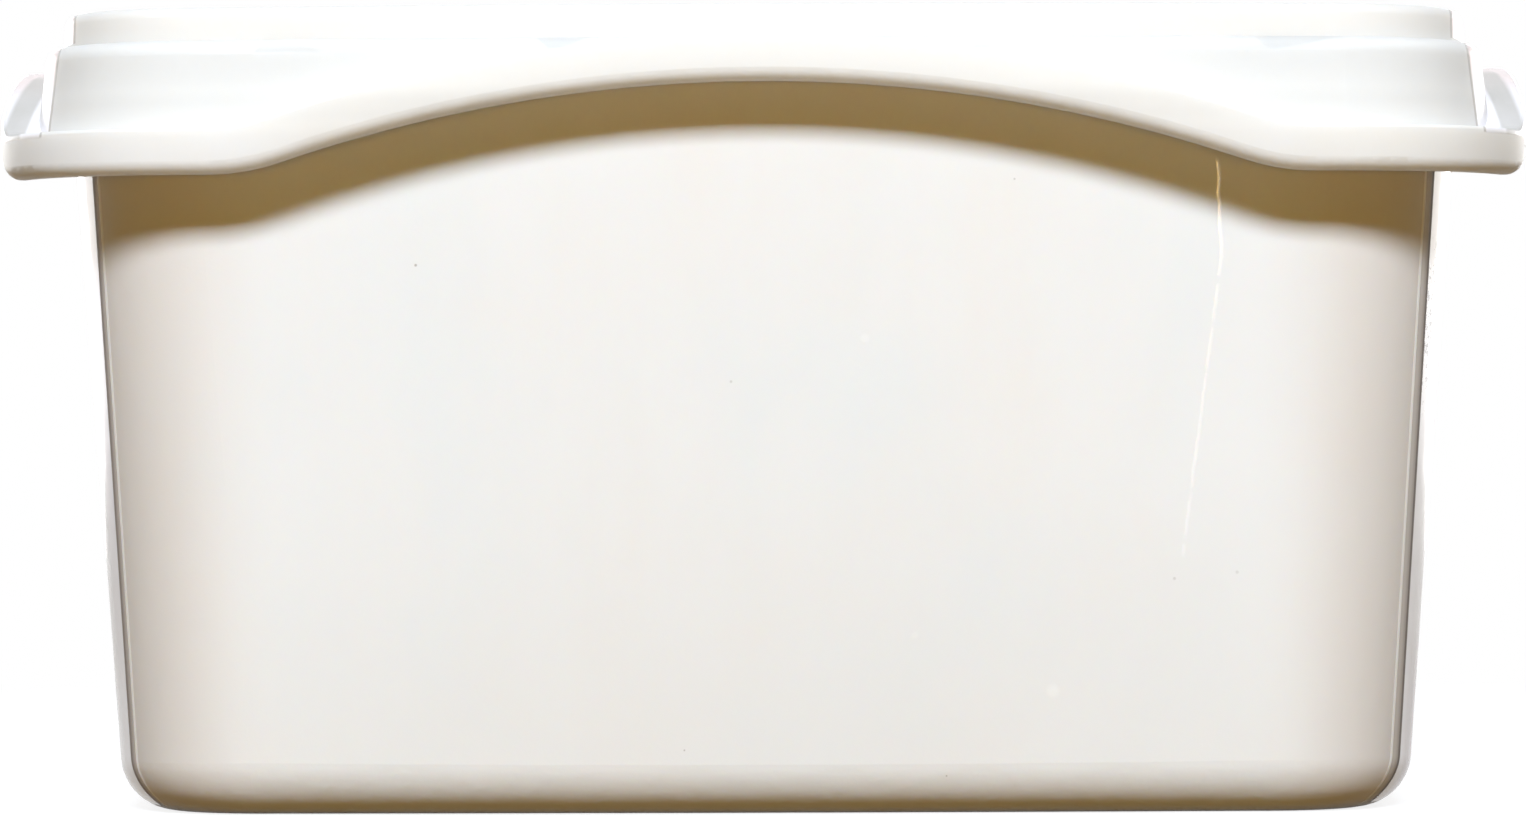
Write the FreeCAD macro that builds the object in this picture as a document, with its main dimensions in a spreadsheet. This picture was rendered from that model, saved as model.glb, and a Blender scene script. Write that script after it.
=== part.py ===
import FreeCAD, Part
import math
import os

import Sketcher

# A shut rectangular cheese tub in injection-moulded polypropylene, millimetres.
# +X runs along the long side, -Y is the plain front, +Z is up and the tub stands on z = 0.
# Two pieces: the drafted tub with its rim bead, and the stepped lid, whose outer flange
# arches up in the middle of each side so that fingers reach the rim.

DIMENSIONS = {
    # Plan of the lid's flange, which every other outline follows at an inset
    "length": 130.5,
    "width": 97.0,
    "long_side_radius": 420.0,
    "short_side_radius": 450.0,
    "flange_inset": 0.0,
    "flange_corner": 18.0,
    # Tub wall: small at the foot, larger at the rim
    "foot_level": 0.0,
    "foot_inset": 10.0,
    "foot_corner": 12.5,
    "foot_side_radius": 1800.0,
    "foot_round": 4.6,
    "rim_level": 63.4,
    "rim_inset": 5.5,
    "rim_corner": 13.5,
    "rim_side_radius": 300.0,
    "bead_level": 61.4,
    "bead_inset": 4.7,
    "bead_corner": 14.3,
    "bead_round": 0.35,
    # Underside of the tub: shallow recess inside the foot ring, with the moulding gate
    "recess_inset": 17.0,
    "recess_corner": 7.0,
    "recess_depth": 0.9,
    "recess_draft": 25.0,
    "gate_dish_radius": 5.0,
    "gate_dish_depth": 0.5,
    "gate_nub_radius": 0.9,
    "gate_nub_height": 0.4,
    "gate_nub_root": 0.2,
    # Levels of the lid
    "lid_base_level": 50.0,
    "ledge_level": 56.87,
    "shelf_level": 64.3,
    "top_level": 67.1,
    # Arched flange of the lid
    "skirt_height": 3.8,
    "skirt_inner_inset": 1.3,
    "skirt_inner_corner": 16.7,
    "ledge_thickness": 1.0,
    "long_arch_rise": 7.35,
    "short_arch_rise": 7.03,
    "long_arch_radius": 128.0,
    "short_arch_radius": 84.0,
    "long_bend_radius": 14.0,
    "short_bend_radius": 5.0,
    "ledge_round": 0.3,
    "skirt_round": 1.1,
    # Lower and upper tiers of the lid, the cavity over the rim, the sunk top panel
    "tier_inset": 2.8,
    "tier_corner": 15.2,
    "tier_base_level": 55.9,
    "tier_draft": 7.0,
    "tier_round": 1.4,
    "panel_inset": 5.15,
    "panel_corner": 13.4,
    "panel_draft": 5.0,
    "panel_round": 0.9,
    "cavity_base_level": 53.4,
    "cavity_inset": 3.6,
    "cavity_corner": 14.4,
    "cavity_draft": 4.5,
    "well_inset": 10.0,
    "well_corner": 9.5,
    "well_depth": 0.9,
    "well_draft": 30.0,
    "well_round": 0.4,
}

doc = FreeCAD.newDocument("CheeseTub")


def make_sheet(values):
    """Keep the driving dimensions in a spreadsheet, one alias for each."""
    sheet = doc.addObject("Spreadsheet::Sheet", "dims")
    for row, (alias, value) in enumerate(values.items(), start=1):
        sheet.set(f"A{row}", alias)
        sheet.set(f"B{row}", str(value))
        sheet.setAlias(f"B{row}", alias)
    doc.recompute()
    return sheet


dims = make_sheet(DIMENSIONS)


def value(alias):
    """The number that a cell of the sheet holds."""
    return float(getattr(dims, alias))


def make_body(name):
    body = doc.addObject("PartDesign::Body", name)
    body.Label = name
    return body


def origin_plane(body, role):
    """One of the three origin planes of a body, such as XY_Plane."""
    return next(plane for plane in body.Origin.OriginFeatures if plane.Role == role)


def make_sketch(body, name, role="XY_Plane", level=None):
    """A sketch on an origin plane, lifted to a level named by its cell."""
    sketch = body.newObject("Sketcher::SketchObject", name)
    sketch.AttachmentSupport = [(origin_plane(body, role), "")]
    sketch.MapMode = "FlatFace"
    if level:
        sketch.setExpression("AttachmentOffset.Base.z", level)
    return sketch


def dimension(sketch, kind, *where, cell):
    """Add a dimensional constraint and bind it to an expression of the sheet."""
    index = sketch.addConstraint(Sketcher.Constraint(kind, *where))
    sketch.setExpression(f"Constraints[{index}]", cell)


# ---------------------------------------------------------------- plan outlines

START, END, CENTRE = 1, 2, 3
ORIGIN, X_AXIS, Y_AXIS = -1, -1, -2


def corner_centre(half_length, half_width, corner, long_reach):
    """Centre of the corner arc that touches both bowed sides from within."""
    short_reach = value("short_side_radius")
    x = half_length - corner
    y = half_width - corner
    for _ in range(60):
        y = half_width - long_reach + math.sqrt((long_reach - corner) ** 2 - x ** 2)
        x = half_length - short_reach + math.sqrt((short_reach - corner) ** 2 - y ** 2)
    return x, y


def arc(centre_x, centre_y, radius, first, last):
    """A counter-clockwise arc between two angles in radians."""
    circle = Part.Circle(FreeCAD.Vector(centre_x, centre_y, 0), FreeCAD.Vector(0, 0, 1), radius)
    return Part.ArcOfCircle(circle, first, last)


def outline_sketch(body, name, inset, corner, level, long_side="long_side_radius"):
    """Rectangle with gently bowed sides and round corners, all arcs tangent.

    inset, corner, level and long_side name cells: how far the outline lies inside the
    flange's, its corner radius, its height, and the radius of its two long sides.
    """
    sketch = make_sketch(body, name, level=f"dims.{level}")
    half_length = value("length") / 2 - value(inset)
    half_width = value("width") / 2 - value(inset)
    radius = value(corner)
    long_radius = value(long_side)
    short_radius = value("short_side_radius")
    x, y = corner_centre(half_length, half_width, radius, long_radius)
    short_turn = math.atan2(y, x - (half_length - short_radius))
    long_turn = math.atan2(y - (half_width - long_radius), x)
    right = half_length - short_radius
    back = half_width - long_radius
    half_turn = math.pi

    # Counter-clockwise from the right-hand side: side, corner, side, corner and so on
    sides = (
        arc(right, 0, short_radius, -short_turn, short_turn),
        arc(x, y, radius, short_turn, long_turn),
        arc(0, back, long_radius, long_turn, half_turn - long_turn),
        arc(-x, y, radius, half_turn - long_turn, half_turn - short_turn),
        arc(-right, 0, short_radius, half_turn - short_turn, half_turn + short_turn),
        arc(-x, -y, radius, half_turn + short_turn, half_turn + long_turn),
        arc(0, -back, long_radius, half_turn + long_turn, 2 * half_turn - long_turn),
        arc(x, -y, radius, 2 * half_turn - long_turn, 2 * half_turn - short_turn),
    )
    for side in sides:
        sketch.addGeometry(side, False)
    for index in range(8):
        following = (index + 1) % 8
        sketch.addConstraint(Sketcher.Constraint("Tangent", index, END, following, START))
    for index in (0, 4):
        sketch.addConstraint(Sketcher.Constraint("PointOnObject", index, CENTRE, X_AXIS))
    for index in (2, 6):
        sketch.addConstraint(Sketcher.Constraint("PointOnObject", index, CENTRE, Y_AXIS))
    sketch.addConstraint(Sketcher.Constraint("Equal", 0, 4))
    sketch.addConstraint(Sketcher.Constraint("Equal", 2, 6))
    for index in (3, 5, 7):
        sketch.addConstraint(Sketcher.Constraint("Equal", 1, index))
    dimension(sketch, "Radius", 0, short_radius, cell="dims.short_side_radius")
    dimension(sketch, "Radius", 2, long_radius, cell=f"dims.{long_side}")
    dimension(sketch, "Radius", 1, radius, cell=f"dims.{corner}")
    # The centres of the side arcs place the middle of each side
    short_reach = f"dims.short_side_radius - (dims.length / 2 - dims.{inset})"
    long_reach = f"dims.{long_side} - (dims.width / 2 - dims.{inset})"
    dimension(sketch, "DistanceX", 0, CENTRE, ORIGIN, START, -right, cell=short_reach)
    dimension(sketch, "DistanceX", ORIGIN, START, 4, CENTRE, -right, cell=short_reach)
    dimension(sketch, "DistanceY", 2, CENTRE, ORIGIN, START, -back, cell=long_reach)
    dimension(sketch, "DistanceY", ORIGIN, START, 6, CENTRE, -back, cell=long_reach)
    return sketch


def pad(body, name, sketch, length, taper=None, symmetric=False):
    """Pad a sketch by an expression, drawn in on the way up by a taper expression."""
    feature = body.newObject("PartDesign::Pad", name)
    feature.Profile = sketch
    feature.setExpression("Length", length)
    if taper:
        feature.setExpression("TaperAngle", f"-({taper})")
    if symmetric:
        feature.SideType = "Symmetric"
    body.Tip = feature
    doc.recompute()
    return feature


def pocket(body, name, sketch, length, taper=None, downwards=True):
    """Pocket a sketch and make sure that it removes material."""
    before = body.Shape.Volume
    feature = body.newObject("PartDesign::Pocket", name)
    feature.Profile = sketch
    feature.Reversed = not downwards
    feature.setExpression("Length", length)
    if taper:
        feature.setExpression("TaperAngle", f"-({taper})")
    body.Tip = feature
    doc.recompute()
    if body.Shape.Volume >= before:
        raise RuntimeError(f"{name} removes nothing")
    return feature


def fillet(body, name, edges, radius):
    """Round the listed edges of the body's present tip."""
    base = body.Tip
    feature = body.newObject("PartDesign::Fillet", name)
    feature.Base = (base, edges)
    feature.setExpression("Radius", radius)
    body.Tip = feature
    doc.recompute()
    return feature


def edges_at_level(shape, level):
    """Names of the edges that lie wholly at one height."""
    names = []
    for index, edge in enumerate(shape.Edges, start=1):
        box = edge.BoundBox
        if abs(box.ZMin - level) < 0.01 and abs(box.ZMax - level) < 0.01:
            names.append(f"Edge{index}")
    return names


def reach_along_x(shape, name):
    """How far a named edge goes from the middle along X."""
    box = shape.getElement(name).BoundBox
    return max(abs(box.XMin), abs(box.XMax))


# ---------------------------------------------------------------- tub


def make_tub():
    """Drafted container with a rounded foot, a rim bead and a recessed underside."""
    body = make_body("tub")
    foot = outline_sketch(body, "foot_outline", "foot_inset", "foot_corner", "foot_level",
                          long_side="foot_side_radius")
    rim = outline_sketch(body, "rim_outline", "rim_inset", "rim_corner", "rim_level",
                         long_side="rim_side_radius")
    wall = body.newObject("PartDesign::AdditiveLoft", "wall")
    wall.Profile = rim
    wall.Sections = [foot]
    wall.Ruled = True
    body.Tip = wall
    doc.recompute()

    foot_edges = edges_at_level(wall.Shape, value("foot_level"))
    fillet(body, "foot_rounding", foot_edges, "dims.foot_round")

    bead = outline_sketch(body, "bead_outline", "bead_inset", "bead_corner", "bead_level",
                          long_side="rim_side_radius")
    pad(body, "rim_bead", bead, "dims.rim_level - dims.bead_level")
    bead_edges = edges_at_level(body.Tip.Shape, value("rim_level"))
    fillet(body, "bead_rounding", bead_edges, "dims.bead_round")

    recess = outline_sketch(body, "recess_outline", "recess_inset", "recess_corner", "foot_level")
    pocket(body, "foot_recess", recess, "dims.recess_depth", "dims.recess_draft", downwards=False)

    dish = make_sketch(body, "gate_dish_outline", level="dims.recess_depth")
    dish.addGeometry(Part.Circle(), False)
    dish.addConstraint(Sketcher.Constraint("Coincident", 0, CENTRE, ORIGIN, START))
    dimension(dish, "Radius", 0, 1.0, cell="dims.gate_dish_radius")
    pocket(body, "gate_dish", dish, "dims.gate_dish_depth", downwards=False)

    nub_level = "dims.recess_depth + dims.gate_dish_depth - dims.gate_nub_height"
    nub = make_sketch(body, "gate_nub_outline", level=nub_level)
    nub.addGeometry(Part.Circle(), False)
    nub.addConstraint(Sketcher.Constraint("Coincident", 0, CENTRE, ORIGIN, START))
    dimension(nub, "Radius", 0, 0.5, cell="dims.gate_nub_radius")
    pad(body, "gate_nub", nub, "dims.gate_nub_height + dims.gate_nub_root")
    return body


# ---------------------------------------------------------------- lid


def arch_prism(name, side, role, drop, reach, run):
    """A bar whose top is level, swells into an arch in the middle, and is level again.

    Its section lies on the plane that role names, and side says whose arch it holds,
    the long or the short side's. Its top keeps an even distance below the ledge, the
    sum of the cells in drop, so its arch and bends share the ledge's centres. reach is
    the section's width and run the bar's length.
    """
    body = make_body(f"{name}_{side}")
    sketch = make_sketch(body, f"{name}_{side}_section", role)
    half_reach = value(reach) / 2
    lowered = sum(value(alias) for alias in drop)
    radius = value(f"{side}_arch_radius") - lowered
    bend = value(f"{side}_bend_radius") + lowered
    level = value("ledge_level") - lowered
    floor = value("lid_base_level") - lowered
    centre_level = level + value(f"{side}_arch_rise") - radius
    bend_level = level + bend
    bend_x = math.sqrt((radius + bend) ** 2 - (bend_level - centre_level) ** 2)
    lean = math.atan2(bend_level - centre_level, bend_x)

    corners = ((-half_reach, level), (-half_reach, floor),
               (half_reach, floor), (half_reach, level))
    points = [FreeCAD.Vector(x, z, 0) for x, z in corners]
    flat_left = FreeCAD.Vector(-bend_x, level, 0)
    flat_right = FreeCAD.Vector(bend_x, level, 0)
    quarter = math.pi / 2
    outline = (
        Part.LineSegment(points[0], points[1]),
        Part.LineSegment(points[1], points[2]),
        Part.LineSegment(points[2], points[3]),
        Part.LineSegment(points[3], flat_right),
        arc(bend_x, bend_level, bend, 2 * quarter + lean, 3 * quarter),
        arc(0, centre_level, radius, lean, 2 * quarter - lean),
        arc(-bend_x, bend_level, bend, 3 * quarter, 4 * quarter - lean),
        Part.LineSegment(flat_left, points[0]),
    )
    for piece in outline:
        sketch.addGeometry(piece, False)
    joints = (
        ("Coincident", 0, END, 1, START),
        ("Coincident", 1, END, 2, START),
        ("Coincident", 2, END, 3, START),
        ("Tangent", 3, END, 4, END),
        ("Tangent", 4, START, 5, START),
        ("Tangent", 5, END, 6, END),
        ("Tangent", 6, START, 7, START),
        ("Coincident", 7, END, 0, START),
        ("Vertical", 0),
        ("Vertical", 2),
        ("Horizontal", 1),
        ("Horizontal", 3),
        ("Horizontal", 7),
        ("PointOnObject", 5, CENTRE, Y_AXIS),
        ("Equal", 4, 6),
    )
    for joint in joints:
        sketch.addConstraint(Sketcher.Constraint(*joint))
    lowering = "".join(f" - dims.{alias}" for alias in drop)
    widening = "".join(f" + dims.{alias}" for alias in drop)
    dimension(sketch, "Radius", 5, radius, cell=f"dims.{side}_arch_radius{lowering}")
    dimension(sketch, "Radius", 4, bend, cell=f"dims.{side}_bend_radius{widening}")
    dimension(sketch, "DistanceX", ORIGIN, START, 2, START, half_reach,
              cell=f"dims.{reach} / 2")
    dimension(sketch, "DistanceX", 0, END, ORIGIN, START, half_reach,
              cell=f"dims.{reach} / 2")
    dimension(sketch, "DistanceY", ORIGIN, START, 1, END, floor,
              cell=f"dims.lid_base_level{lowering}")
    dimension(sketch, "DistanceY", 5, CENTRE, ORIGIN, START, -centre_level,
              cell=f"dims.{side}_arch_radius - dims.{side}_arch_rise - dims.ledge_level")
    dimension(sketch, "DistanceY", ORIGIN, START, 3, END, level,
              cell=f"dims.ledge_level{lowering}")
    dimension(sketch, "DistanceY", ORIGIN, START, 7, END, level,
              cell=f"dims.ledge_level{lowering}")
    pad(body, f"{name}_{side}_bar", sketch, f"dims.{run}", symmetric=True)
    return body


def arched_level(name, drop=()):
    """Everything below the flange's four arches, lowered by the cells in drop."""
    along_front = arch_prism(name, "long", "XZ_Plane", drop, "length", "width")
    along_end = arch_prism(name, "short", "YZ_Plane", drop, "width", "length")
    both = doc.addObject("Part::Fuse", name)
    both.Base = along_front
    both.Tool = along_end
    doc.recompute()
    return both


def outline_block(name, inset, corner, level, height, taper=None):
    """A block of one plan outline, from a level upwards."""
    body = make_body(name)
    sketch = outline_sketch(body, f"{name}_outline", inset, corner, level)
    pad(body, f"{name}_pad", sketch, height, taper)
    return body


def combine(kind, name, base, tool):
    feature = doc.addObject(f"Part::{kind}", name)
    feature.Base = base
    feature.Tool = tool
    doc.recompute()
    return feature


def rim_edges(shape, upper):
    """Upper or lower edges of the upright outer wall of the flange."""
    names = []
    for face in shape.Faces:
        surface = face.Surface
        if not isinstance(surface, Part.Cylinder) or abs(surface.Axis.z) < 0.99:
            continue
        for edge in face.Edges:
            box = edge.BoundBox
            if box.XLength < 0.01 and box.YLength < 0.01:
                continue
            above = edge.CenterOfMass.z > face.CenterOfMass.z
            if above == upper:
                index = next(i for i, e in enumerate(shape.Edges, start=1) if e.isSame(edge))
                names.append(f"Edge{index}")
    return names


def make_flange():
    """The arched flange, still solid inside: a ledge whose edge turns down as a skirt."""
    plan = outline_block("flange_plan", "flange_inset", "flange_corner", "lid_base_level",
                         "dims.shelf_level - dims.lid_base_level")
    raised = combine("Common", "flange_below_ledge", plan, arched_level("ledge_surface"))
    blank = combine("Cut", "flange_blank", raised,
                    arched_level("skirt_foot", drop=("skirt_height",)))
    body = make_body("flange")
    body.BaseFeature = blank
    doc.recompute()
    fillet(body, "ledge_rounding", rim_edges(body.Tip.Shape, upper=True), "dims.ledge_round")
    fillet(body, "skirt_rounding", rim_edges(body.Tip.Shape, upper=False), "dims.skirt_round")
    return body


def make_tiers():
    """The two raised steps of the lid and the shallow stacking well in its top."""
    body = make_body("tiers")
    lower = outline_sketch(body, "tier_outline", "tier_inset", "tier_corner", "tier_base_level")
    pad(body, "lower_tier", lower, "dims.shelf_level - dims.tier_base_level", "dims.tier_draft")
    shelf_edges = edges_at_level(body.Tip.Shape, value("shelf_level"))
    fillet(body, "tier_rounding", shelf_edges, "dims.tier_round")

    upper = outline_sketch(body, "panel_outline", "panel_inset", "panel_corner", "shelf_level")
    pad(body, "upper_tier", upper, "dims.top_level - dims.shelf_level", "dims.panel_draft")
    top_edges = edges_at_level(body.Tip.Shape, value("top_level"))
    fillet(body, "panel_rounding", top_edges, "dims.panel_round")

    well = outline_sketch(body, "well_outline", "well_inset", "well_corner", "top_level")
    pocket(body, "stacking_well", well, "dims.well_depth", "dims.well_draft")
    well_edges = edges_at_level(body.Tip.Shape, value("top_level"))
    lip_reach = value("length") / 2 - value("well_inset")
    lip = [name for name in well_edges if reach_along_x(body.Tip.Shape, name) <= lip_reach + 0.01]
    fillet(body, "well_rounding", lip, "dims.well_round")
    return body


def make_lid():
    """Stepped lid: tiers on the arched flange, hollowed under the skirt and over the rim."""
    whole = combine("Fuse", "lid_whole", make_flange(), make_tiers())
    channel_plan = outline_block("channel_plan", "skirt_inner_inset", "skirt_inner_corner",
                                 "lid_base_level",
                                 "dims.shelf_level - dims.lid_base_level")
    channel = combine("Common", "skirt_channel", channel_plan,
                      arched_level("channel_ceiling", drop=("ledge_thickness",)))
    skirted = combine("Cut", "lid_skirted", whole, channel)
    cavity = outline_block("rim_cavity", "cavity_inset", "cavity_corner", "cavity_base_level",
                           "dims.rim_level - dims.cavity_base_level", "dims.cavity_draft")
    return combine("Cut", "lid", skirted, cavity)


def check_document():
    """Stop on any feature that recompute left failed."""
    for feature in doc.Objects:
        for state in feature.State:
            if state in ("Invalid", "Error"):
                raise RuntimeError(f"{feature.Name} is {state}")


def write_parts(parts):
    """Check each finished piece and write it as one STEP file."""
    os.makedirs("parts", exist_ok=True)
    for name, feature in parts.items():
        shape = feature.Shape
        if shape.isNull() or not shape.isValid() or len(shape.Solids) != 1:
            raise RuntimeError(f"{name} is not one valid solid")
    for name, feature in parts.items():
        feature.Label = name
        feature.Shape.exportStep(os.path.join("parts", f"{name}.step"))


parts = {"tub": make_tub(), "lid": make_lid()}
doc.recompute()
check_document()
write_parts(parts)
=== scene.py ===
import math

import bpy
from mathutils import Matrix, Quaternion, Vector


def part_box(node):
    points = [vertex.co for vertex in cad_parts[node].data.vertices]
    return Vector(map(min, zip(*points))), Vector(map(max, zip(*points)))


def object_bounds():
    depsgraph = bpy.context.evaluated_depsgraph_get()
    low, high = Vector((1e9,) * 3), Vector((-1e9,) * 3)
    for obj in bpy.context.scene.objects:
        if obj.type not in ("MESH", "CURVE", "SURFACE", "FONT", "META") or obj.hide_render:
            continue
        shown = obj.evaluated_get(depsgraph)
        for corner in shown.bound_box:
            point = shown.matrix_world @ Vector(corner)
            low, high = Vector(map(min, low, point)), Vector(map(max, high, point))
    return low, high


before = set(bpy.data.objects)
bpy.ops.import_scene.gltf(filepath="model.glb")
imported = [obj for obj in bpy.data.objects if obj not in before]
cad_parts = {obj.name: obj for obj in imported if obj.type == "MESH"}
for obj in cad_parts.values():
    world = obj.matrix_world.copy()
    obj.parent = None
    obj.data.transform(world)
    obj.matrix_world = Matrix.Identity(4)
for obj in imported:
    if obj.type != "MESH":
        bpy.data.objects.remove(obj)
cad_low, cad_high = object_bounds()
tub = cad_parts["tub"]
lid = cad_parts["lid"]

MM = 0.001

# Heights of the lid's flange, of the shelf between its tiers, and of its top, in mm
LEDGE_Z = 56.9
SHELF_Z = 64.3
LID_TOP_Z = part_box("lid")[1].z / MM

# Camera: level with the middle of the tub, in front of its plain long side
CAMERA_DISTANCE = 470 * MM
CAMERA_HEIGHT = 32.8 * MM
CAMERA_SIDE = 4.5 * MM
VIEW_WIDTH = 123.8 * MM
VIEW_CENTRE_SIDE = 0.1 * MM
VIEW_CENTRE_HEIGHT = 33.8 * MM
CAMERA_ROLL = math.radians(-0.2)
SENSOR_WIDTH = 36.0

# Light: a soft box in front, a low warm one below it, one behind each end, and a dim
# warm fill. Places and sizes are in metres, and the pairs stand at -X and +X. All are
# turned towards LIGHT_TARGET.
LIGHT_TARGET = (0, 0, 0.04)
KEY_PLACE = (0, -0.75, 0.59)
KEY_SIZE = (0.45, 0.16)
KEY_POWER = 11.6
KEY_COLOUR = (0.79, 0.87, 0.96)
LOW_PLACE = (0, -0.8, 0.03)
LOW_SIZE = (0.5, 0.06)
LOW_POWER = 0.85
LOW_COLOUR = (1.0, 0.60, 0.08)
BACK_PLACE = (0.36, 0.62, 0.24)
BACK_SIZE = (0.4, 0.5)
BACK_POWER = 3.2
BACK_COLOUR = (1.0, 0.98, 0.96)
# Cards that only reflections see: name, place, size, power
CARDS = (
    ("side_card", (0.55, 0.3, 0.08), (0.42, 0.4), 1.2),
    ("back_card", (0.36, 0.62, 0.1), (0.4, 0.24), 1.5),
)
FILL_COLOUR = (1.0, 0.70, 0.28, 1)
FILL_STRENGTH = 0.08

# Floor: what it bounces on to the object, how it looks, and where it is plain white
FLOOR_REACH = 3.0
FLOOR_BOUNCE = (0.15, 0.09, 0.03, 1)
FLOOR_SHOWN = (0.25, 0.26, 0.28, 1)
FLOOR_GLOW = 0.85
WHITE_BEYOND = 0.22


# ---------------------------------------------------------------- small helpers

def linear(red, green, blue):
    """A colour written in 0 to 255 display values, as the shader wants it."""
    def one(level):
        level = level / 255
        return level / 12.92 if level <= 0.04045 else ((level + 0.055) / 1.055) ** 2.4
    return (one(red), one(green), one(blue), 1.0)


class Nodes:
    """Builds the node tree of a material or world with short calls."""

    def __init__(self, owner):
        owner.use_nodes = True
        self.owner = owner
        self.tree = owner.node_tree
        self.tree.nodes.clear()

    def add(self, kind, **settings):
        node = self.tree.nodes.new(kind)
        for key, setting in settings.items():
            setattr(node, key, setting)
        return node

    def feed(self, socket, source):
        """Link a socket to another's output, or give it a constant."""
        if isinstance(source, bpy.types.NodeSocket):
            self.tree.links.new(source, socket)
        else:
            socket.default_value = source

    def math(self, operation, first, second=0.0, clamp=False):
        node = self.add("ShaderNodeMath", operation=operation, use_clamp=clamp)
        self.feed(node.inputs[0], first)
        self.feed(node.inputs[1], second)
        return node.outputs[0]

    def line(self, value, slope, start):
        """value * slope + start."""
        node = self.add("ShaderNodeMath", operation="MULTIPLY_ADD")
        self.feed(node.inputs[0], value)
        self.feed(node.inputs[1], slope)
        self.feed(node.inputs[2], start)
        return node.outputs[0]

    def plus(self, first, second):
        return self.math("ADD", first, second)

    def minus(self, first, second):
        return self.math("SUBTRACT", first, second)

    def either(self, first, second):
        """The larger of two masks."""
        return self.math("MAXIMUM", first, second)

    def both(self, first, second):
        """Two masks, or a number and a factor, multiplied."""
        return self.math("MULTIPLY", first, second)

    def flip(self, value):
        return self.minus(1.0, value)

    def less(self, first, second):
        """One mask with another taken out of it."""
        return self.math("SUBTRACT", first, second, clamp=True)

    def step(self, value, start, end):
        """0 before start, 1 after end, smooth between."""
        node = self.add("ShaderNodeMapRange", interpolation_type="SMOOTHSTEP")
        self.feed(node.inputs["Value"], value)
        self.feed(node.inputs["From Min"], start)
        self.feed(node.inputs["From Max"], end)
        return node.outputs["Result"]

    def band(self, value, low, high, soft):
        """1 between low and high, with soft ends."""
        rise = self.step(value, low - soft, low + soft)
        fall = self.step(value, high - soft, high + soft)
        return self.less(rise, fall)

    def scale(self, value, low, high):
        node = self.add("ShaderNodeMapRange")
        self.feed(node.inputs["Value"], value)
        self.feed(node.inputs["To Min"], low)
        self.feed(node.inputs["To Max"], high)
        return node.outputs["Result"]

    def mix(self, factor, first, second):
        """Mix two colours."""
        node = self.add("ShaderNodeMix", data_type="RGBA")
        self.feed(node.inputs[0], factor)
        self.feed(node.inputs[6], first)
        self.feed(node.inputs[7], second)
        return node.outputs[2]

    def blend(self, factor, first, second):
        """Mix two numbers."""
        node = self.add("ShaderNodeMix", data_type="FLOAT")
        self.feed(node.inputs[0], factor)
        self.feed(node.inputs[2], first)
        self.feed(node.inputs[3], second)
        return node.outputs[0]

    def stretch(self, place, x, y, z):
        """Scale a place so that what is drawn on it is drawn out along the small factors."""
        node = self.add("ShaderNodeVectorMath", operation="MULTIPLY")
        self.feed(node.inputs[0], place)
        node.inputs[1].default_value = (x, y, z)
        return node.outputs[0]

    def noise(self, place, scale, detail=3.0, roughness=0.5):
        node = self.add("ShaderNodeTexNoise")
        self.feed(node.inputs["Vector"], place)
        node.inputs["Scale"].default_value = scale
        node.inputs["Detail"].default_value = detail
        node.inputs["Roughness"].default_value = roughness
        return node.outputs["Fac"]

    def bump(self, height, depth, normal=None):
        """Relief of a depth in millimetres, on top of another's normal."""
        node = self.add("ShaderNodeBump")
        node.inputs["Distance"].default_value = depth * MM
        self.feed(node.inputs["Height"], height)
        if normal is not None:
            self.feed(node.inputs["Normal"], normal)
        return node.outputs["Normal"]

    def place(self):
        """Place on the object in millimetres, and its three parts."""
        coordinates = self.add("ShaderNodeTexCoord")
        scaled = self.add("ShaderNodeVectorMath", operation="SCALE")
        self.feed(scaled.inputs[0], coordinates.outputs["Object"])
        scaled.inputs["Scale"].default_value = 1 / MM
        parts = self.add("ShaderNodeSeparateXYZ")
        self.feed(parts.inputs[0], scaled.outputs[0])
        return scaled.outputs[0], parts.outputs[0], parts.outputs[1], parts.outputs[2]

    def surface(self, shader):
        kind = "World" if isinstance(self.owner, bpy.types.World) else "Material"
        output = self.add("ShaderNodeOutput" + kind)
        self.feed(output.inputs["Surface"], shader)


def new_material(name):
    return Nodes(bpy.data.materials.new(name))


def mix_shaders(n, factor, first, second):
    mix = n.add("ShaderNodeMixShader")
    n.feed(mix.inputs[0], factor)
    n.feed(mix.inputs[1], first)
    n.feed(mix.inputs[2], second)
    return mix.outputs[0]


# ---------------------------------------------------------------- marks on the plain side

# A long pale scratch: X and Z of its upper end, its bend and its lower end
SCRATCH_TOP = (37.6, 54.2)
SCRATCH_BEND = (37.95, 46.2)
SCRATCH_FOOT = (34.7, 21.5)
SCRATCH_HALF_WIDTH = (0.06, 0.2)
SCRATCH_WANDER = 0.3

# Small specks and dents: X, Z, radius, and how dark (-) or pale (+)
MARKS = (
    (-28.6, 45.7, 0.16, -1.0),
    (-2.6, 36.0, 0.16, -0.5),
    (20.8, 52.6, 0.13, -0.6),
    (34.0, 19.6, 0.18, -0.45),
    (39.2, 20.1, 0.2, -0.35),
    (-6.6, 5.5, 0.11, -0.8),
    (15.1, 3.3, 0.11, -0.8),
    (8.4, 39.5, 0.5, 0.5),
    (12.5, 15.0, 0.4, 0.35),
    (23.9, 10.3, 0.75, 0.5),
)


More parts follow.
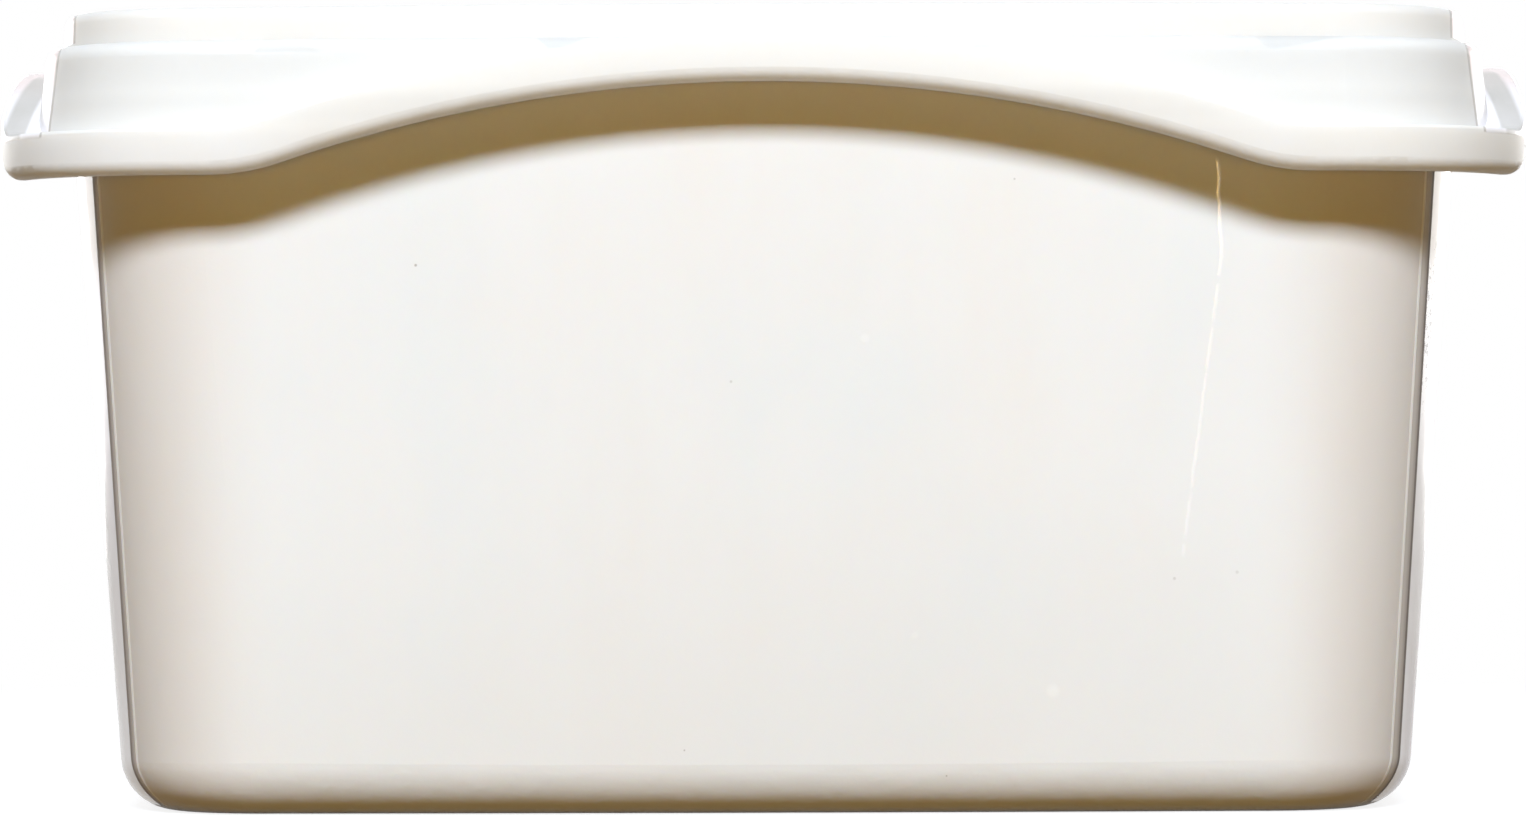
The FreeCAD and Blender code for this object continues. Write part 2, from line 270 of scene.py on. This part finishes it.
def scratch_mask(n, place, x, front, z):
    """A hairline that bends, wanders a little, and is faint and broken below its bend."""
    bend_x, bend_z = SCRATCH_BEND
    line = bend_x
    for end_x, end_z in (SCRATCH_TOP, SCRATCH_FOOT):
        run = (end_x - bend_x) / abs(end_z - bend_z)
        first, second = (z, bend_z) if end_z > bend_z else (bend_z, z)
        gap = n.math("MAXIMUM", n.minus(first, second), 0.0)
        line = n.plus(n.both(gap, run), line)
    wander = n.noise(n.stretch(place, 0, 0, 1), 0.5, 4.0, 0.6)
    wander = n.scale(wander, -SCRATCH_WANDER, SCRATCH_WANDER)
    away = n.math("ABSOLUTE", n.minus(n.minus(x, line), wander))
    core = n.flip(n.step(away, *SCRATCH_HALF_WIDTH))
    length = n.band(z, SCRATCH_FOOT[1], SCRATCH_TOP[1], 0.25)
    worn = n.blend(n.step(z, bend_z - 2.0, bend_z + 6.0), 0.25, 1.0)
    broken = n.step(n.noise(n.stretch(place, 0.3, 0, 1), 1.1, 2.0), 0.36, 0.5)
    broken = n.either(broken, n.step(z, bend_z - 2.0, bend_z))
    return n.both(n.both(core, length), n.both(n.both(worn, broken), front))


def mark_masks(n, x, front, z):
    """Sums of the dark and of the pale round marks."""
    dark, pale = 0.0, 0.0
    for mark_x, mark_z, radius, tone in MARKS:
        across = n.minus(x, mark_x)
        up = n.minus(z, mark_z)
        away = n.math("SQRT", n.plus(n.both(across, across), n.both(up, up)))
        spot = n.both(n.flip(n.step(away, radius * 0.35, radius)), abs(tone))
        if tone < 0:
            dark = n.plus(dark, spot)
        else:
            pale = n.plus(pale, spot)
    return n.both(dark, front), n.both(pale, front)


# ---------------------------------------------------------------- materials

TUB_WHITE = linear(236, 236, 236)
TUB_WARM = linear(236, 234, 232)
TUB_COOL = linear(233, 235, 236)
# Painted shade: the tub's plastic darker towards the foot and towards the corners
TUB_PAINTED_LOW_SHADE = linear(228, 227, 225)
TUB_PAINTED_CORNER_SHADE = linear(224, 217, 211)
SPECK_DARK = linear(120, 108, 96)
SPECK_PALE = linear(250, 250, 248)
SCRATCH_WHITE = linear(255, 255, 254)
FILM_BORDER_TINT = linear(158, 148, 142)
FILM_EDGE_DARK = linear(84, 74, 68)
FILM_LIP_WHITE = linear(253, 252, 250)
LID_WHITE = linear(237, 236, 235)
LID_CLOUD = linear(234, 231, 226)
# Painted light on the lid's lower tier, painted shade on its upper tier and top and at the lower
# tier's foot
LID_TIER_PAINTED_LIGHT = linear(244, 242, 238)
LID_TIER_ROOT_PAINTED_SHADE = linear(226, 224, 221)
LID_TOP_PAINTED_SHADE = linear(231, 229, 226)
LABEL_WHITE = linear(246, 245, 250)
LABEL_LAVENDER = linear(228, 226, 240)
LABEL_MAUVE = linear(176, 150, 148)
LABEL_CORAL = linear(240, 214, 208)
LABEL_GREY = linear(180, 178, 173)
LABEL_FLECK = linear(96, 88, 88)

# Where the tub's plastic changes: Y behind which the plain side's marks stop, Z over which
# painted shade darkens it towards the foot, and X over which painted shade darkens it towards the
# corners
MARKS_END_Y = (-30.0, -28.0)
LOW_PAINTED_SHADE_Z = (32.0, 2.0)
CORNER_PAINTED_SHADE_X = (40.0, 50.0)

# Heights of the print on the tub's ends: a shade that deepens, a low field, dark flecks
LAVENDER_Z = (10.0, 62.0)
MAUVE_Z = (13.0, 22.0)
FLECKS_Z = (34.0, 47.0)

# Heights over which painted light brightens the lid's lower tier and painted shade darkens its
# upper tier and top, of the painted shade at the lower tier's foot, and over which the tint on
# its tiers comes in
TIER_PAINTED_LIGHT_Z = (56.0, 58.0)
TOP_PAINTED_SHADE_Z = (63.6, 64.4)
TIER_ROOT_PAINTED_SHADE_Z = (57.2, 59.6)
CORAL_Z = (60.0, 62.5)

# The film's edge on the lid: X at the foot of the lower tier, how fast it moves in as the
# tier rises, X on the upper tier, and X beyond which it needn't stop short of the top
LID_LABEL_LOWER_X = 59.75
LID_LABEL_DRAFT = 0.12
LID_LABEL_UPPER_X = 57.75
LID_TOP_EDGE_X = (58.8, 59.2)

# The grey field on the end ledge: from and to X, and the Z that it fades out by
LEDGE_FIELD_FROM = (61.6, 62.0)
LEDGE_FIELD_TO = (63.5, 64.1)
LEDGE_FIELD_TOP = (62.6, 63.4)

# Light that gets into the plastic: its share, how deep it goes in mm, and its colour
TUB_GLOW = (0.18, 1.6, (1.0, 0.62, 0.3))
LID_GLOW = (0.6, 3.5, (1.0, 0.9, 0.8))

# How each surface reflects: refractive index, the plastic's specular level, and the
# roughness of its smoothest and its roughest spot
PLASTIC_INDEX = 1.49
PLASTIC_SPECULAR = 0.08
TUB_FILM_INDEX = 2.1
LID_FILM_INDEX = 1.35
TUB_ROUGHNESS = (0.44, 0.56)
LID_ROUGHNESS = (0.38, 0.46)
TUB_FILM_ROUGHNESS = (0.12, 0.2)
LID_FILM_ROUGHNESS = (0.2, 0.3)

# Relief in mm: the wall's slow sink, its moulded grain, and the film's and scratch's edges
TUB_SINK = 0.25
TUB_GRAIN = 0.006
TUB_RELIEF = 0.05
LID_SINK = 0.12
LID_GRAIN = 0.003
LID_RELIEF = 0.02

# The printed film on each end: its edge up the corner is X = LABEL_X + LABEL_RISE * Z,
# below LABEL_TURN_Z it curves in with the foot, and it starts at LABEL_FOOT. Its clear
# border is wider at the right.
LABEL_X = 53.08
LABEL_RISE = 0.06
LABEL_TURN = 0.13
LABEL_TURN_Z = 4.6
LABEL_FOOT = 0.5
FILM_BORDER_LEFT = 0.55
FILM_BORDER_RIGHT = 0.8


def film_shader(n, colour, roughness, normal, index):
    """Printed film under a clear glossy face."""
    shader = n.add("ShaderNodeBsdfPrincipled")
    n.feed(shader.inputs["Base Color"], colour)
    n.feed(shader.inputs["Roughness"], roughness)
    n.feed(shader.inputs["Normal"], normal)
    shader.inputs["IOR"].default_value = index
    return shader.outputs[0]


def plastic_shader(n, colour, roughness, normal, glow):
    """Moulded polypropylene, which lets a little light through."""
    share, depth, tint = glow
    shader = n.add("ShaderNodeBsdfPrincipled")
    n.feed(shader.inputs["Base Color"], colour)
    n.feed(shader.inputs["Roughness"], roughness)
    n.feed(shader.inputs["Normal"], normal)
    shader.inputs["IOR"].default_value = PLASTIC_INDEX
    shader.inputs["Specular IOR Level"].default_value = PLASTIC_SPECULAR
    shader.inputs["Subsurface Weight"].default_value = share
    shader.inputs["Subsurface Radius"].default_value = tint
    shader.inputs["Subsurface Scale"].default_value = depth * MM
    return shader.outputs[0]


def tub_material():
    """Matte polypropylene with a printed film moulded on to each end."""
    n = new_material("tub_plastic")
    place, x, y, z = n.place()
    out = n.math("ABSOLUTE", x)
    front = n.flip(n.step(y, *MARKS_END_Y))

    # Where the film is: its print, its clear border and the border's fine lip
    under = n.math("MAXIMUM", n.minus(LABEL_TURN_Z, z), 0.0)
    edge = n.line(z, LABEL_RISE, LABEL_X)
    edge = n.minus(edge, n.both(n.both(under, under), LABEL_TURN))
    past = n.minus(out, edge)
    right = n.step(x, -1.0, 1.0)
    above = n.step(z, LABEL_FOOT - 0.05, LABEL_FOOT + 0.05)
    reach = n.blend(right, FILM_BORDER_LEFT, FILM_BORDER_RIGHT)
    inside = n.plus(past, reach)
    film = n.both(n.step(inside, -0.03, 0.03), above)
    label = n.both(n.step(past, -0.04, 0.04), above)
    border = n.less(film, label)
    shade = n.both(border, n.blend(n.step(past, -0.6, -0.05), 0.3, 1.0))
    lip = n.both(n.band(inside, -0.17, 0.03, 0.04), above)

    # Plastic: faint warm and cool clouds, flow marks, painted shade towards the foot and the
    # corners, the side's scratch and specks
    clouds = n.noise(place, 0.045, 3.0)
    drift = n.noise(n.stretch(place, 1, 1, 0.35), 0.11, 4.0, 0.6)
    plastic = n.mix(n.step(clouds, 0.35, 0.65), TUB_WARM, TUB_COOL)
    plastic = n.mix(n.step(drift, 0.3, 0.7), plastic, TUB_WHITE)
    # Painted shade: darker towards the foot, where less light falls
    plastic = n.mix(n.both(n.step(z, *LOW_PAINTED_SHADE_Z), 0.5), plastic, TUB_PAINTED_LOW_SHADE)
    # Painted shade: darker towards the corners, where the wall turns away from the light
    plastic = n.mix(n.both(n.step(out, *CORNER_PAINTED_SHADE_X), 0.7), plastic, TUB_PAINTED_CORNER_SHADE)
    scratch = scratch_mask(n, place, x, front, z)
    dark, pale = mark_masks(n, x, front, z)
    plastic = n.mix(n.both(dark, 0.5), plastic, SPECK_DARK)
    plastic = n.mix(n.both(pale, 0.5), plastic, SPECK_PALE)
    plastic = n.mix(scratch, plastic, SCRATCH_WHITE)
    plastic = n.mix(shade, plastic, FILM_BORDER_TINT)
    brink = n.both(n.band(past, -0.2, 0.02, 0.05), above)
    plastic = n.mix(n.both(brink, n.blend(right, 0.3, 0.65)), plastic, FILM_EDGE_DARK)
    plastic = n.mix(lip, plastic, FILM_LIP_WHITE)

    # Print: white, lavender shade on one end, a low mauve field on the other
    cloud = n.noise(place, 0.05, 2.0)
    wash = n.both(n.flip(right), n.step(n.line(cloud, 30.0, z), *LAVENDER_Z))
    print_colour = n.mix(wash, LABEL_WHITE, LABEL_LAVENDER)
    low = n.flip(n.step(n.line(cloud, 8.0, z), *MAUVE_Z))
    mauve = n.both(n.both(low, n.step(past, 0.0, 1.2)), n.both(right, 0.7))
    print_colour = n.mix(mauve, print_colour, LABEL_MAUVE)
    flecks = n.step(n.noise(place, 1.9, 1.0), 0.6, 0.64)
    flecks = n.both(n.both(flecks, right), n.band(z, *FLECKS_Z, 1.5))
    flecks = n.both(flecks, n.band(past, 0.0, 0.9, 0.1))
    print_colour = n.mix(n.both(flecks, 0.85), print_colour, LABEL_FLECK)

    # Surface: slow sink of the wall, moulded grain, and the film's and scratch's relief
    grain = n.noise(place, 2.6, 2.0)
    sink = n.noise(n.stretch(place, 1, 1, 0.5), 0.05, 2.0)
    normal = n.bump(sink, TUB_SINK)
    normal = n.bump(n.both(grain, n.flip(film)), TUB_GRAIN, normal)
    relief = n.plus(n.both(film, 0.4), n.both(lip, 0.5))
    relief = n.plus(relief, n.plus(n.both(scratch, 0.6), n.both(pale, 0.4)))
    normal = n.bump(relief, TUB_RELIEF, normal)
    rough = n.scale(grain, *TUB_ROUGHNESS)
    body = plastic_shader(n, plastic, rough, normal, TUB_GLOW)
    rough = n.scale(cloud, *TUB_FILM_ROUGHNESS)
    printed = film_shader(n, print_colour, rough, normal, TUB_FILM_INDEX)
    n.surface(mix_shaders(n, n.either(label, scratch), body, printed))
    return n.owner


def lid_material():
    """Satin polypropylene, whiter than the tub, with the same film down each end."""
    n = new_material("lid_plastic")
    place, x, _, z = n.place()
    out = n.math("ABSOLUTE", x)

    # Where the film is: on the flange's ledge, the tiers and the shelf, and not on the top
    lower_edge = n.line(z, -LID_LABEL_DRAFT, LID_LABEL_LOWER_X + LID_LABEL_DRAFT * LEDGE_Z)
    edge = n.blend(n.step(z, SHELF_Z + 0.1, SHELF_Z + 0.3), lower_edge, LID_LABEL_UPPER_X)
    past = n.minus(out, edge)
    ledge_up = n.step(z, LEDGE_Z - 0.6, LEDGE_Z - 0.4)
    below_top = n.flip(n.step(z, LID_TOP_Z - 0.2, LID_TOP_Z - 0.1))
    off_top = n.either(n.step(out, *LID_TOP_EDGE_X), below_top)
    label = n.both(n.both(n.step(past, -0.04, 0.04), ledge_up), off_top)

    # Plastic: faint clouds, painted light on the lower tier, painted shade on the upper tier and
    # top and at the lower tier's foot, a dark line at the film's edge
    clouds = n.noise(place, 0.05, 3.0)
    plastic = n.mix(n.step(clouds, 0.35, 0.65), LID_WHITE, LID_CLOUD)
    # Painted light makes the lower tier lighter, and painted shade makes the upper tier and top
    # darker, for how light falls on each level
    plastic = n.mix(n.step(z, *TIER_PAINTED_LIGHT_Z), plastic, LID_TIER_PAINTED_LIGHT)
    plastic = n.mix(n.step(z, *TOP_PAINTED_SHADE_Z), plastic, LID_TOP_PAINTED_SHADE)
    # Painted shade in the crease at the lower tier's foot, just above the flange
    plastic = n.mix(n.both(n.band(z, *TIER_ROOT_PAINTED_SHADE_Z, 0.8), 0.6), plastic, LID_TIER_ROOT_PAINTED_SHADE)
    brink = n.both(n.band(past, -0.22, 0.02, 0.05), ledge_up)
    plastic = n.mix(n.both(brink, 0.55), plastic, FILM_BORDER_TINT)

    # Print: a coral tint up the tiers, and a grey field with a white rim on the ledge
    cloud = n.noise(n.stretch(place, 1, 0.25, 1), 0.3, 3.0)
    coral = n.both(n.scale(cloud, 0.35, 0.85), n.step(z, *CORAL_Z))
    print_colour = n.mix(coral, LABEL_WHITE, LABEL_CORAL)
    ledge = n.both(n.step(out, *LEDGE_FIELD_FROM), n.flip(n.step(z, *LEDGE_FIELD_TOP)))
    grey = n.both(n.less(ledge, n.step(out, *LEDGE_FIELD_TO)), n.scale(cloud, 0.6, 1.0))
    print_colour = n.mix(grey, print_colour, LABEL_GREY)

    grain = n.noise(place, 2.2, 2.0)
    sink = n.noise(place, 0.06, 2.0)
    normal = n.bump(sink, LID_SINK)
    normal = n.bump(grain, LID_GRAIN, normal)
    normal = n.bump(label, LID_RELIEF, normal)
    rough = n.scale(grain, *LID_ROUGHNESS)
    body = plastic_shader(n, plastic, rough, normal, LID_GLOW)
    rough = n.scale(cloud, *LID_FILM_ROUGHNESS)
    printed = film_shader(n, print_colour, rough, normal, LID_FILM_INDEX)
    n.surface(mix_shaders(n, label, body, printed))
    return n.owner


def dress(node, material):
    node.data.materials.clear()
    node.data.materials.append(material)


dress(tub, tub_material())
dress(lid, lid_material())


# ---------------------------------------------------------------- studio

def area_light(name, place, width, height, power, colour=(1, 1, 1)):
    """A soft box that the camera doesn't see, turned towards the object."""
    data = bpy.data.lights.new(name, "AREA")
    data.shape = "RECTANGLE"
    data.size = width
    data.size_y = height
    data.energy = power
    data.color = colour
    lamp = bpy.data.objects.new(name, data)
    lamp.location = place
    aim = Vector(LIGHT_TARGET) - Vector(place)
    lamp.rotation_euler = aim.to_track_quat("-Z", "Y").to_euler()
    lamp.visible_camera = False
    bpy.context.scene.collection.objects.link(lamp)
    return lamp


def make_lights():
    area_light("key_box", KEY_PLACE, *KEY_SIZE, KEY_POWER, KEY_COLOUR)
    area_light("low_box", LOW_PLACE, *LOW_SIZE, LOW_POWER, LOW_COLOUR)
    across, behind, height = BACK_PLACE
    for side, name in ((-1, "back_box_left"), (1, "back_box_right")):
        place = (side * across, behind, height)
        box = area_light(name, place, *BACK_SIZE, BACK_POWER, BACK_COLOUR)
        box.visible_glossy = False
    for kind, (across, behind, height), size, power in CARDS:
        for side, hand in ((-1, "left"), (1, "right")):
            place = (side * across, behind, height)
            card = area_light(kind + "_" + hand, place, *size, power)
            card.visible_diffuse = False


def seen_directly(n):
    """1 for what the camera, a reflection or clear material shows, 0 for light that bounces."""
    rays = n.add("ShaderNodeLightPath")
    seen = n.math("ADD", rays.outputs["Is Camera Ray"], rays.outputs["Is Glossy Ray"], clamp=True)
    return n.math("ADD", seen, rays.outputs["Is Transmission Ray"], clamp=True)


def make_world():
    """White to the camera and to reflections, a warm fill for everything else."""
    world = bpy.data.worlds.new("studio")
    bpy.context.scene.world = world
    n = Nodes(world)
    fill = n.add("ShaderNodeBackground")
    fill.inputs["Color"].default_value = FILL_COLOUR
    fill.inputs["Strength"].default_value = FILL_STRENGTH
    white = n.add("ShaderNodeBackground")
    white.inputs["Color"].default_value = (1, 1, 1, 1)
    n.surface(mix_shaders(n, seen_directly(n), fill.outputs[0], white.outputs[0]))


def make_floor():
    """White and softly shadowed to the camera, a dim warm bounce to the object."""
    square = ((-1, -1), (1, -1), (1, 1), (-1, 1))
    corners = [(x * FLOOR_REACH, y * FLOOR_REACH, 0) for x, y in square]
    mesh = bpy.data.meshes.new("floor")
    mesh.from_pydata(corners, [], [(0, 1, 2, 3)])
    floor = bpy.data.objects.new("floor", mesh)
    bpy.context.scene.collection.objects.link(floor)
    n = new_material("floor_white")
    bounce = n.add("ShaderNodeBsdfDiffuse")
    bounce.inputs["Color"].default_value = FLOOR_BOUNCE
    shown = n.add("ShaderNodeBsdfDiffuse")
    shown.inputs["Color"].default_value = FLOOR_SHOWN
    glow = n.add("ShaderNodeEmission")
    glow.inputs["Strength"].default_value = FLOOR_GLOW
    lit = n.add("ShaderNodeAddShader")
    n.feed(lit.inputs[0], shown.outputs[0])
    n.feed(lit.inputs[1], glow.outputs[0])
    coordinates = n.add("ShaderNodeTexCoord")
    away = n.add("ShaderNodeVectorMath", operation="LENGTH")
    n.feed(away.inputs[0], coordinates.outputs["Object"])
    white = n.add("ShaderNodeEmission")
    far = n.step(away.outputs["Value"], WHITE_BEYOND / 2, WHITE_BEYOND)
    ground = mix_shaders(n, far, lit.outputs[0], white.outputs[0])
    n.surface(mix_shaders(n, seen_directly(n), bounce.outputs[0], ground))
    dress(floor, n.owner)


def make_camera():
    data = bpy.data.cameras.new("camera")
    data.sensor_width = SENSOR_WIDTH
    data.lens = SENSOR_WIDTH * CAMERA_DISTANCE / VIEW_WIDTH
    data.clip_start = 0.01
    data.clip_end = 20
    camera = bpy.data.objects.new("camera", data)
    bpy.context.scene.collection.objects.link(camera)
    front = cad_low.y
    camera.location = (CAMERA_SIDE, front - CAMERA_DISTANCE, CAMERA_HEIGHT)
    aim = Vector((VIEW_CENTRE_SIDE, front, VIEW_CENTRE_HEIGHT)) - camera.location
    camera.rotation_mode = "QUATERNION"
    camera.rotation_quaternion = aim.to_track_quat("-Z", "Y") @ Quaternion((0, 0, 1), CAMERA_ROLL)
    bpy.context.scene.camera = camera


make_camera()
make_world()
make_lights()
make_floor()
bpy.context.scene.view_settings.view_transform = "Standard"
